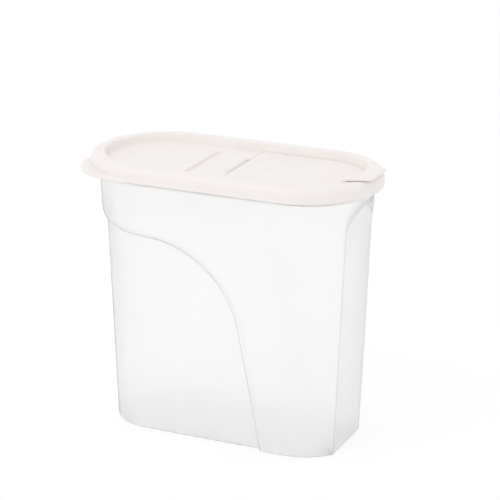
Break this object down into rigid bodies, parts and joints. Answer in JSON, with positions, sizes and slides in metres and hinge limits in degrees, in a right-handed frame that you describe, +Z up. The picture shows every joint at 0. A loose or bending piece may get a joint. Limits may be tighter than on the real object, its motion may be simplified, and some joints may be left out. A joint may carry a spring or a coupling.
{
  "type": "cereal container",
  "caption": "Oval translucent dry-food keeper with a press-on lid and a flip-up pouring flap.",
  "frame": {"origin": "middle of the base, on the surface that the container stands on", "axes": "+X towards the pouring end with the tab, +Z up, +Y across"},
  "size_m": [0.2407, 0.1186, 0.2261],
  "materials": {
    "container": "frosted translucent polypropylene, natural colour",
    "lid": "satin moulded polypropylene, warm white"
  },
  "bodies": {
    "container": {"container": "container"},
    "lid": {"lid": "lid"},
    "flap": {"flap": "lid"}
  },
  "joints": [
    {"name": "lid_lift", "type": "slide", "parent": "container", "child": "lid", "axis": [0, 0, 1], "range_m": [0, 0.06]},
    {"name": "flap_hinge", "type": "hinge", "parent": "lid", "child": "flap", "pos_m": [0.0065, 0, 0.2166], "axis": [0, -1, 0], "range_deg": [0, 140]}
  ]
}
